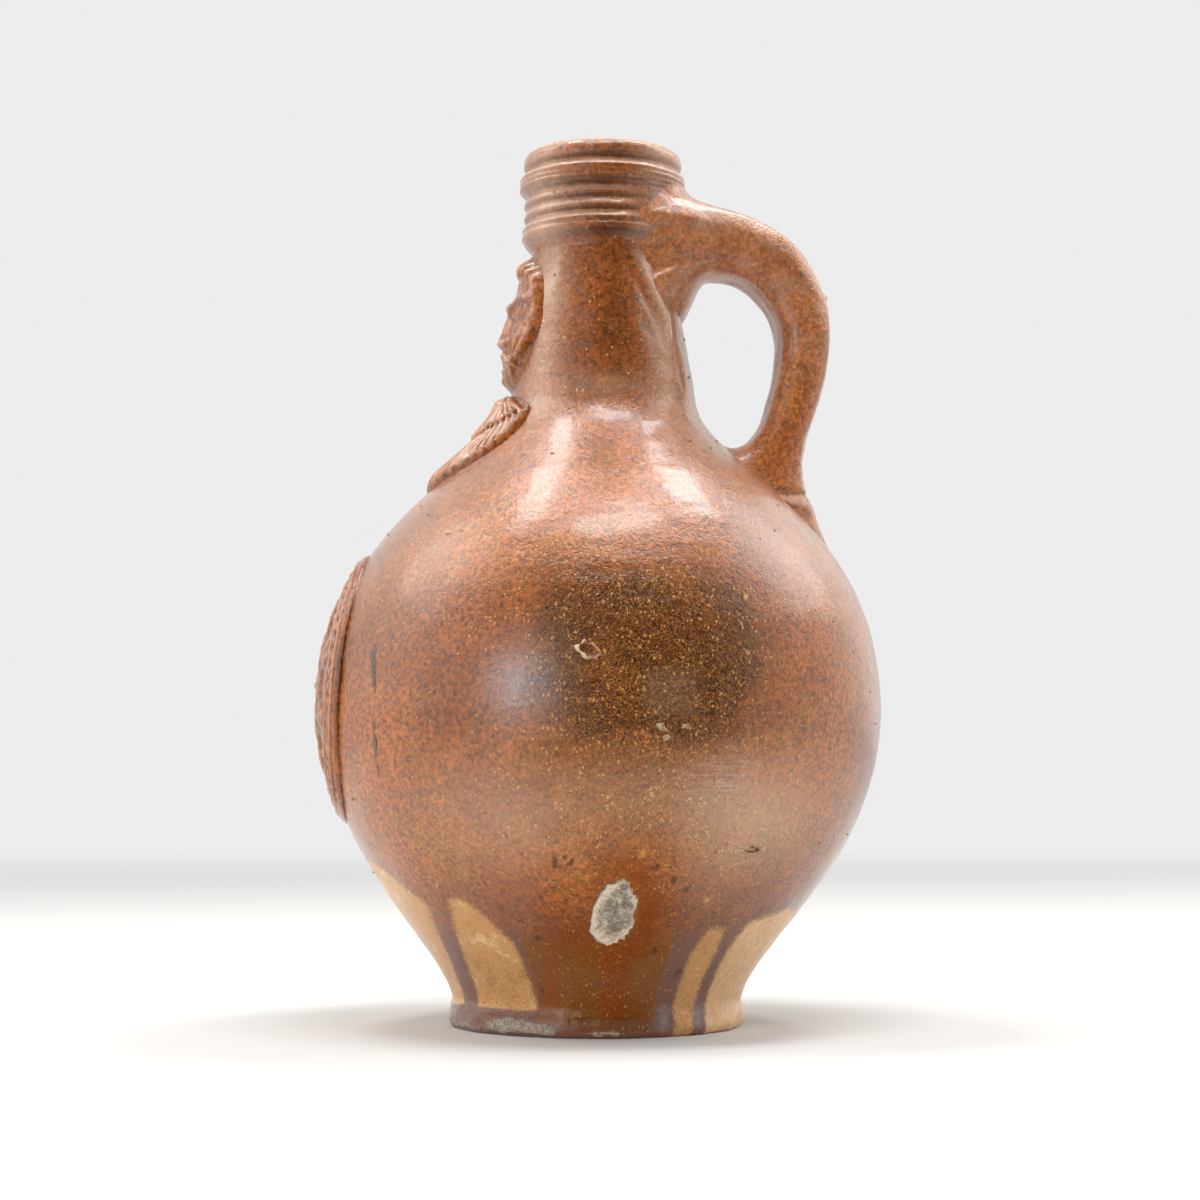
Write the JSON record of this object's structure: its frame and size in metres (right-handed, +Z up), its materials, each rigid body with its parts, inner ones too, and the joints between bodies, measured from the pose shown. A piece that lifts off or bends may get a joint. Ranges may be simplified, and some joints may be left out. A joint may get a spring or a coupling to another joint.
{
  "type": "stoneware jug",
  "caption": "Round-bellied salt-glazed stoneware jug with a corded narrow neck, a strap handle, and a bearded mask and an oval medallion luted on the side opposite the handle.",
  "frame": {"origin": "centre of the flat underside of the foot, on the throwing axis", "axes": "+Z up along the throwing axis, +X towards the handle, so the mask and the medallion face -X"},
  "size_m": [0.142, 0.1396, 0.22],
  "materials": {
    "body_glaze": "mottled brown salt glaze with orange-peel texture",
    "handle_glaze": "brown salt glaze, thinner and more matt on the edges",
    "relief_glaze": "thin tan to brown salt glaze over pressed relief"
  },
  "bodies": {
    "root": {"jug_body": "body_glaze", "handle": "handle_glaze", "mask": "relief_glaze", "beard": "relief_glaze", "medallion": "relief_glaze"}
  },
  "joints": []
}
